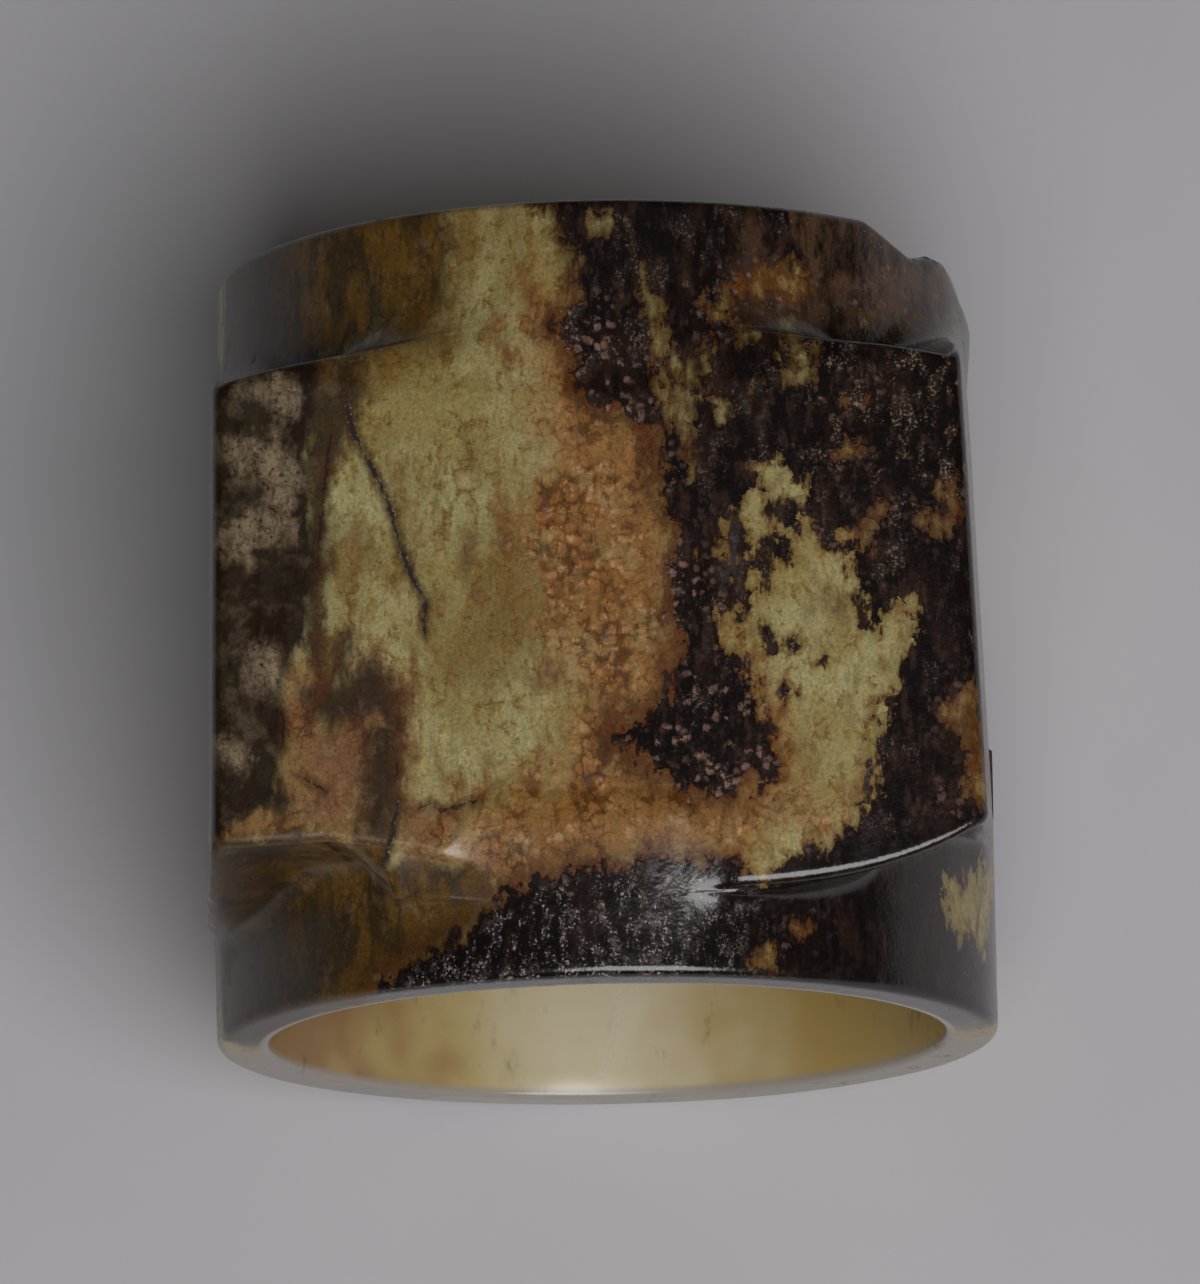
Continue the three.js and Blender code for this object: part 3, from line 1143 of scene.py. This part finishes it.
        flecks = [(self.grit, 0.56, 0.64), (self.clump, 0.5, 0.62), (self.fine, 0.45, 0.55)]
        self.lay(finish.grey_tan, 0.4, dark, *flecks, (self.y, -20, -16))
        dust = [(self.grit, 0.52, 0.64), (self.fine, 0.46, 0.56), (self.clump, 0.44, 0.56)]
        self.lay(finish.grey_tan, 0.6, dark, *dust, (self.x, 13, 18), (self.y, 3, 8), (self.y, 20, 16))
        # Painted glints on the lower collar: a faint pale sheen, then bright pale specks for light caught by
        # its pitted polish
        depth = add(self.tree, "ShaderNodeAttribute", out="Fac", attribute_name=Zone.DARK.value)
        belt = [dark, (depth, 0.2, 1.6), (self.y, -16, -20), (self.x, 14, 4)]
        self.lay(finish.painted_belt_glint, 0.16, *belt, (self.fine, 0.47, 0.62), (self.pore, 0.46, 0.6))
        self.lay(finish.painted_belt_glint, 0.7, *belt, (self.grit, 0.57, 0.65), (self.fine, 0.44, 0.56))
        return dark

    def bore_stone(self) -> None:
        """Paints the bore: pale stone, amber on one side and brown on the other, with a painted pool of light
        on its floor and a painted grey reflection on the lower rim.
        """
        finish = self.finish
        drifted_x = [self.cloud, finish.bore_cloud_mm, self.x]
        across = add(self.tree, "ShaderNodeMath", drifted_x, operation="MULTIPLY_ADD")
        self.lay(finish.bore, 1, self.inside)
        self.lay(finish.bore_amber, 1, self.inside, (across, 9, 25))
        self.lay(finish.bore_brown, 1, self.inside, (across, -3, -12))
        # Painted light: the bore's floor is lighter where the key shines in through the opening
        self.lay(finish.bore_light_pool, 0.8, self.inside, (self.z, 12, 2), (across, -8, 5), (across, 24, 11))
        # Painted reflection: the polished face of the lower rim is greyed as if it mirrored the paper
        self.lay(finish.rim_reflection_grey, 0.85, self.inside, (self.y, -26.9, -27.5))

    def mottle(self) -> None:
        """Varies the brightness of everything painted so far with fine mottling."""
        tree, finish = self.tree, self.finish
        amount = add(tree, "ShaderNodeMapRange", [self.fine, *finish.mottle_window, *finish.fine_mottle])
        dust = add(tree, "ShaderNodeMapRange", [self.grit, *finish.mottle_window, *finish.grit_mottle])
        amount = add(tree, "ShaderNodeMath", [amount, dust], operation="MULTIPLY")
        inputs = {0: self.colour, "Scale": amount}
        self.colour = add(tree, "ShaderNodeVectorMath", inputs, operation="SCALE")

    def paint(self) -> None:
        """Lays every layer, and works out the polish and the fine relief."""
        tree, finish = self.tree, self.finish
        self.clear_stone()
        tan = self.tan_stone()
        brown = self.stained_edge()
        dark = self.dark_stone(tan)
        self.mottle()
        self.bore_stone()
        broken = self.zone(Zone.BREAK, (2, 1, 0), 0.3, -0.5)
        self.lay(finish.dusk, 0.8, broken)
        # Hairlines, and the painted shadow in the crease under the flaked tongue, drawn the same way: a
        # darker band and a dark line
        sizes = (finish.hairline_and_crease_half_mm, finish.hairline_stain_and_shade_mm)
        hair_and_crease_shadow, _, hair_stain_and_crease_shade = self.crack_masks(finish.hairlines_and_crease_shadow, *sizes)
        self.lay(finish.umber, 0.55, hair_stain_and_crease_shade)
        self.lay(finish.gap, 0.75, hair_and_crease_shadow)
        # The cracks: a brown band beside them, partly real stain and partly painted shade where the surface
        # bends down into them
        sizes = (finish.crack_half_mm, finish.crack_stain_and_shade_mm)
        gap, lip, gap_stain_and_shade = self.crack_masks(finish.cracks, *sizes)
        self.lay(finish.umber, 0.75, gap_stain_and_shade)
        # Painted glints: pale flecks along the cracks' lips
        self.lay(finish.painted_lip_glint, 0.6, lip, (self.grit, 0.58, 0.66))
        self.lay(finish.gap, 1, gap)

        polish = [dark, 0, 1, finish.clear_roughness, finish.dark_roughness]
        roughness = add(tree, "ShaderNodeMapRange", polish)
        for pattern, dullness in (
            (self.fine, finish.roughness_mottle),
            (gap, finish.gap_dullness),
            (brown, finish.brown_dullness),
            (broken, finish.break_dullness),
        ):
            roughness = add(tree, "ShaderNodeMath", [pattern, dullness, roughness], operation="MULTIPLY_ADD")

        depth = add(tree, "ShaderNodeAttribute", out="Fac", attribute_name=Zone.DARK.value)
        blend = finish.pore_blend_mm
        along = [self.y, *finish.belt_top, finish.dark_pores, finish.belt_pores]
        dark_pores = add(tree, "ShaderNodeMapRange", along)
        pores = add(tree, "ShaderNodeMapRange", [depth, -blend, blend, finish.clear_pores, dark_pores])
        pores = add(tree, "ShaderNodeMath", [pores, self.inside], operation="SUBTRACT", use_clamp=True)
        height = add(tree, "ShaderNodeMath", [self.pore, pores], operation="MULTIPLY")
        bump = {"Height": height, "Strength": finish.pore_strength, "Distance": MM}
        surface = {
            "Base Color": self.colour,
            "Roughness": roughness,
            "IOR": finish.ior,
            "Normal": add(tree, "ShaderNodeBump", bump),
        }
        stone = add(tree, "ShaderNodeBsdfPrincipled", surface)
        add(tree, "ShaderNodeOutputMaterial", [stone])


@dataclass(frozen=True)
class StoneRelief:
    """Low relief of the worn polish, in millimetres: slow waves, pits in the dark stone, a rough break."""

    wave_depth: float = 0.12
    wave_size: float = 11.0
    pit_depth: float = 0.06
    pit_size: float = 1.1
    break_depth: float = 0.3
    break_size: float = 1.6

    def relief(self, tree: Any, given: Any, name: str, detail: float) -> Socket:
        """Makes noise with one of the named depths and sizes.

        Args:
            tree: Geometry tree.
            given: The tree's inputs.
            name: First word of the depth and the size.
            detail: Octaves of the noise.

        Returns:
            Height in millimetres, as much up as down.
        """
        place = add(tree, "GeometryNodeInputPosition")
        scale = add(tree, "ShaderNodeMath", [1 / MM, given[f"{name}_size"]], operation="DIVIDE")
        value = add(tree, "ShaderNodeTexNoise", {"Vector": place, "Scale": scale, "Detail": detail})
        level = add(tree, "ShaderNodeMath", [value, NOISE_MIDDLE], operation="SUBTRACT")
        return add(tree, "ShaderNodeMath", [level, given[f"{name}_depth"]], operation="MULTIPLY")

    def inside(self, tree: Any, zone: Zone, low: float, high: float) -> Socket:
        """Reads a zone of the skin as a mask that rises from one depth to another."""
        depth = add(tree, "GeometryNodeInputNamedAttribute", [zone.value], data_type="FLOAT")
        return add(tree, "ShaderNodeMapRange", [depth, low, high], interpolation_type="SMOOTHSTEP")

    def tree(self) -> bpy.types.GeometryNodeTree:
        """Builds the node tree that moves the skin's points along their normals.

        Returns:
            The tree, with the sizes above and the stone as named inputs.
        """
        tree = bpy.data.node_groups.new("stone_relief", "GeometryNodeTree")
        tree.interface.new_socket("Skin", in_out="INPUT", socket_type="NodeSocketGeometry")
        for size in fields(self):
            tree.interface.new_socket(size.name, in_out="INPUT", socket_type="NodeSocketFloat")
        tree.interface.new_socket("Stone", in_out="INPUT", socket_type="NodeSocketMaterial")
        tree.interface.new_socket("Skin", in_out="OUTPUT", socket_type="NodeSocketGeometry")
        given = add(tree, "NodeGroupInput").node.outputs
        waves = self.relief(tree, given, "wave", 1)
        pits = self.relief(tree, given, "pit", 3)
        rough = self.relief(tree, given, "break", 4)
        dark = self.inside(tree, Zone.DARK, -0.5, 1)
        broken = self.inside(tree, Zone.BREAK, 0, 1)
        height = add(tree, "ShaderNodeMath", [pits, dark, waves], operation="MULTIPLY_ADD")
        height = add(tree, "ShaderNodeMath", [rough, broken, height], operation="MULTIPLY_ADD")
        height = add(tree, "ShaderNodeMath", [height, MM], operation="MULTIPLY")
        normal = add(tree, "GeometryNodeInputNormal")
        shift = add(tree, "ShaderNodeVectorMath", {0: normal, "Scale": height}, operation="SCALE")
        moved = add(tree, "GeometryNodeSetPosition", {"Geometry": given["Skin"], "Offset": shift})
        real = add(tree, "GeometryNodeRealizeInstances", [moved])
        dressed = add(tree, "GeometryNodeSetMaterial", {"Geometry": real, "Material": given["Stone"]})
        add(tree, "NodeGroupOutput", [dressed])
        return tree

    def carve(self, piece: bpy.types.Object, stone: bpy.types.Material) -> None:
        """Carves the relief into a piece and gives it its stone.

        Args:
            piece: Object whose mesh carries the zones.
            stone: Material of the result.
        """
        modifier = piece.modifiers.new("relief", "NODES")
        modifier.node_group = self.tree()
        values = {size.name: getattr(self, size.name) for size in fields(self)} | {"Stone": stone}
        for socket in modifier.node_group.interface.items_tree:
            if socket.in_out == "INPUT" and socket.name in values:
                modifier[socket.identifier] = values[socket.name]
        graph = bpy.context.evaluated_depsgraph_get()
        carved = bpy.data.meshes.new_from_object(piece.evaluated_get(graph))
        piece.modifiers.remove(modifier)
        piece.data = carved


@dataclass(frozen=True)
class Cong:
    """The whole cong: its form, zones, relief and finish."""

    view: PhotoView
    form: CongForm = field(default_factory=CongForm)
    relief: StoneRelief = field(default_factory=StoneRelief)
    finish: Nephrite = field(default_factory=Nephrite)
    node: str = "jade_cong"
    break_reach: float = 0.6

    def break_depth(self, points: np.ndarray) -> np.ndarray:
        """Tells how far inside the broken surface of the chipped rim points are.

        Args:
            points: Rows of x, y, z in millimetres from the middle of the bore.

        Returns:
            Depths from 0 to 1 mm.
        """
        chip = self.form.chip_depth(np.arctan2(points[:, 0], points[:, 2]))
        above = points[:, 1] - (self.form.half_length - chip) + self.break_reach
        return np.clip(above, 0, 1) * np.clip(chip, 0, 1)

    def build(self) -> bpy.types.Object:
        """Makes the piece and tells the frame what it stands for.

        Returns:
            The dressed object.
        """
        mesh, points = self.form.mesh("cong_skin")
        depths = StoneZones(self.view).depths(points)
        depths[Zone.BORE] = self.form.bore_share(points)
        depths[Zone.BREAK] = self.break_depth(points)
        for zone, values in depths.items():
            layer = mesh.attributes.new(zone.value, "FLOAT", "POINT")
            layer.data.foreach_set("value", values.astype(np.float32))
        piece = bpy.data.objects.new("cong_skin", mesh)
        bpy.context.scene.collection.objects.link(piece)
        self.relief.carve(piece, self.finish.build(self.view, self.form))
        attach(piece, "root")
        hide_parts(self.node)
        return piece


@dataclass(frozen=True)
class Studio:
    """Pale matt paper, and soft light from the lower right of the picture. Sizes are in metres."""

    paper_side: float = 3.0
    paper_drop_mm: float = 0.2
    paper_colour: str = "#cdcbce"
    paper_shade: str = "#c9c7ca"
    paper_cloud_mm: float = 16.0
    paper_roughness: float = 0.9
    key_place: tuple[float, float, float] = (0.165, -0.35, 0.73)
    key_size: float = 0.62
    key_power: float = 4.8
    fill_strength: float = 0.13
    view_transform: str = "Standard"

    def paper(self) -> bpy.types.Object:
        """Makes the sheet of paper that the piece lies on.

        Returns:
            The sheet, which is part of the stage.
        """
        half = self.paper_side / 2
        mesh = bpy.data.meshes.new("paper")
        corners = [(-half, -half), (half, -half), (half, half), (-half, half)]
        mesh.from_pydata([(x, y, -self.paper_drop_mm * MM) for x, y in corners], [], [(0, 1, 2, 3)])
        mesh.materials.append(self.paper_finish())
        sheet = bpy.data.objects.new("paper", mesh)
        bpy.context.scene.collection.objects.link(sheet)
        return sheet

    def paper_finish(self) -> bpy.types.Material:
        """Makes matt paper, which is faintly cloudy with its fibres.

        Returns:
            The material.
        """
        material = bpy.data.materials.new("matt_paper")
        material.use_nodes = True
        tree = material.node_tree
        tree.nodes.clear()
        place = add(tree, "ShaderNodeTexCoord", out="Object")
        inputs = {"Vector": place, "Scale": 1 / (self.paper_cloud_mm * MM), "Detail": 2}
        cloud = add(tree, "ShaderNodeTexNoise", inputs)
        tones = {0: cloud, MIX_UNDER: linear(self.paper_shade), MIX_OVER: linear(self.paper_colour)}
        colour = add(tree, "ShaderNodeMix", tones, MIX_OUT, data_type="RGBA")
        surface = {"Base Color": colour, "Roughness": self.paper_roughness}
        sheet = add(tree, "ShaderNodeBsdfPrincipled", surface)
        add(tree, "ShaderNodeOutputMaterial", [sheet])
        return material

    def light(self) -> bpy.types.Object:
        """Makes the key light and the even fill of the room.

        Returns:
            The key light.
        """
        data = bpy.data.lights.new("key", "AREA")
        data.shape = "DISK"
        data.size = self.key_size
        data.energy = self.key_power
        key = bpy.data.objects.new("key", data)
        key.location = self.key_place
        key.rotation_euler = (-Vector(self.key_place)).to_track_quat("-Z", "Y").to_euler()
        scene = bpy.context.scene
        scene.collection.objects.link(key)
        scene.world = bpy.data.worlds.new("room")
        scene.world.use_nodes = True
        scene.world.node_tree.nodes["Background"].inputs["Strength"].default_value = self.fill_strength
        scene.view_settings.view_transform = self.view_transform
        return key


def main() -> None:
    """Builds the scene and reports its pieces."""
    logging.basicConfig(level=logging.INFO, format="%(message)s")
    view = PhotoView()
    cong = Cong(view)
    studio = Studio()
    view.build(cong.form.rest_height)
    piece = cong.build()
    LOG.info("%s: %d faces", piece.name, len(piece.data.polygons))
    LOG.info("stage: %s, %s", studio.paper().name, studio.light().name)


if __name__ == "__main__":
    main()
